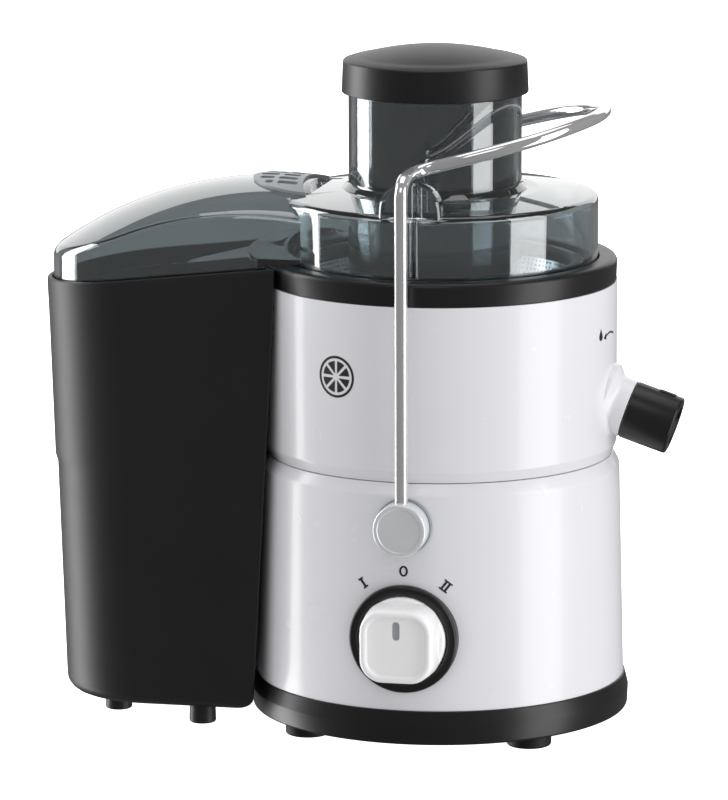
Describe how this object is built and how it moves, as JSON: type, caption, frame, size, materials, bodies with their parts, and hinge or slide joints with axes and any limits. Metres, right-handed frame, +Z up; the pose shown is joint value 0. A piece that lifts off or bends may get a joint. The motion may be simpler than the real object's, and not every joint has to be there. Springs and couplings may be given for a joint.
{
  "type": "centrifugal juicer",
  "caption": "Centrifugal juicer with wide feed chute and pusher, locking wire bail, rotary switch, turning spout and side pulp container.",
  "frame": {"origin": "the middle of the whole machine's box, at the level of the table that the feet stand on; the motor axis is at x 0.0358, y 0.00425", "axes": "+Z up along the motor axis, the knob faces -Y, the spout points to +X and the pulp container stands at -X"},
  "size_m": [0.2996, 0.1986, 0.3152],
  "materials": {
    "white_gloss": "glossy bluish white ABS",
    "black_satin": "satin black plastic",
    "charcoal": "matte charcoal plastic",
    "smoke_clear": "clear smoky blue-grey plastic",
    "smoke_dark": "dark clear smoky plastic",
    "chrome": "polished chrome plate",
    "satin_metal": "satin silver",
    "steel": "bright steel",
    "knob_white": "white plastic",
    "pale_grey": "light grey plastic",
    "natural_nylon": "natural nylon",
    "rubber": "black rubber",
    "aluminium": "die-cast",
    "copper": "enamelled copper and brass",
    "carbon": "carbon brush"
  },
  "bodies": {
    "root": {"base_housing": "white_gloss", "base_skirt": "black_satin", "bottom_plate": "black_satin", "bottom_screws": "steel", "body_feet": "rubber", "juice_bowl": "white_gloss", "rim_ring": "black_satin", "lid": "smoke_clear", "vent_grille": "pale_grey", "pulp_container": "charcoal", "pivot_bushes": "natural_nylon", "interlock_switch": "black_satin", "knob_bezel": "black_satin", "rotary_switch": "natural_nylon", "shaft_seal": "rubber", "stator_core": "steel", "stator_coils": "copper", "upper_bracket": "aluminium", "lower_bracket": "aluminium", "bearings": "steel", "motor_screws": "steel", "brush_holders": "copper", "brushes": "carbon", "motor_mounts": "rubber", "cord_gland": "rubber", "capacitor": "pale_grey"},
    "bail": {"bail_rod": "chrome", "bail_hubs": "satin_metal", "bail_pins": "steel", "interlock_cam": "natural_nylon"},
    "plunger": {"interlock_plunger": "natural_nylon"},
    "pusher": {"pusher_body": "smoke_dark", "pusher_cap": "black_satin"},
    "knob": {"knob": "knob_white", "knob_pointer": "pale_grey", "switch_shaft": "steel"},
    "nozzle": {"spout_nozzle": "black_satin"},
    "rotor": {"sieve": "steel", "basket_frame": "black_satin", "basket_rim": "black_satin", "cutter_disc": "steel", "drive_coupling": "black_satin", "motor_shaft": "steel", "armature_core": "steel", "armature_winding": "copper", "commutator": "copper", "fan": "natural_nylon"}
  },
  "joints": [
    {"name": "bail_swing", "type": "hinge", "parent": "root", "child": "bail", "pos_m": [0.03546, 0.00425, 0.107], "axis": [0, 1, 0], "range_deg": [0, 80]},
    {"name": "plunger_slide", "type": "slide", "parent": "root", "child": "plunger", "axis": [1, 0, 0], "range_m": [0, 0.00252]},
    {"name": "pusher_slide", "type": "slide", "parent": "root", "child": "pusher", "axis": [0, 0, 1], "range_m": [0, 0.1]},
    {"name": "knob_turn", "type": "hinge", "parent": "root", "child": "knob", "pos_m": [0.03546, -0.08075, 0.055], "axis": [0, -1, 0], "range_deg": [-39, 39]},
    {"name": "nozzle_turn", "type": "hinge", "parent": "root", "child": "nozzle", "pos_m": [0.11746, 0.00425, 0.1506], "axis": [0.9483, 0, -0.3173], "range_deg": [0, 180]},
    {"name": "rotor_spin", "type": "hinge", "parent": "root", "child": "rotor", "pos_m": [0.03546, 0.00425, 0.1], "axis": [0, 0, 1], "continuous": true}
  ],
  "couplings": [
    {"joint": "plunger_slide", "follows": "bail_swing", "m_per_rad": 0.0017905}
  ]
}
